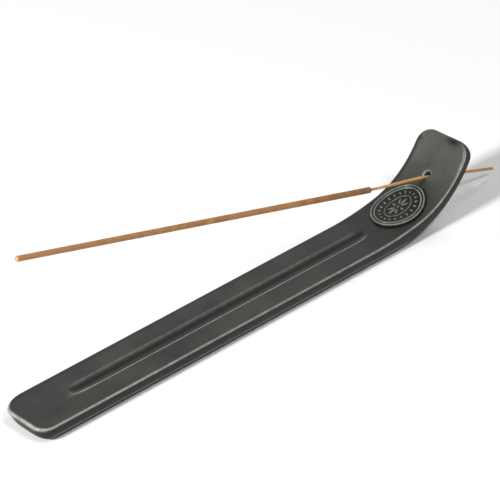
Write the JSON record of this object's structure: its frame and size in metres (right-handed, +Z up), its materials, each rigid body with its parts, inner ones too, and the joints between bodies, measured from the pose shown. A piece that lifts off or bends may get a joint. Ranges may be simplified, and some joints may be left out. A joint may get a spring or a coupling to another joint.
{
  "type": "incense burner",
  "caption": "Long glazed stoneware tray for stick incense, with an ash groove, a curled rear end, an oval medallion and a slanting hole that holds a removable incense stick.",
  "frame": {"origin": "middle of the flat foot that stands on the table", "axes": "+X along the tray towards the curled end, +Z up from the table, +Y across the tray"},
  "size_m": [0.2724, 0.0278, 0.0797],
  "materials": {
    "glaze": "satin",
    "sprig": "satin",
    "bamboo": "satin",
    "paste": "matte"
  },
  "bodies": {
    "burner": {"tray": "glaze", "medallion": "sprig"},
    "stick": {"bamboo_core": "bamboo", "incense_coat": "paste"}
  },
  "joints": [
    {"name": "stick_pull", "type": "slide", "parent": "burner", "child": "stick", "axis": [-0.952, 0, 0.3062], "range_m": [0, 0.058]}
  ]
}
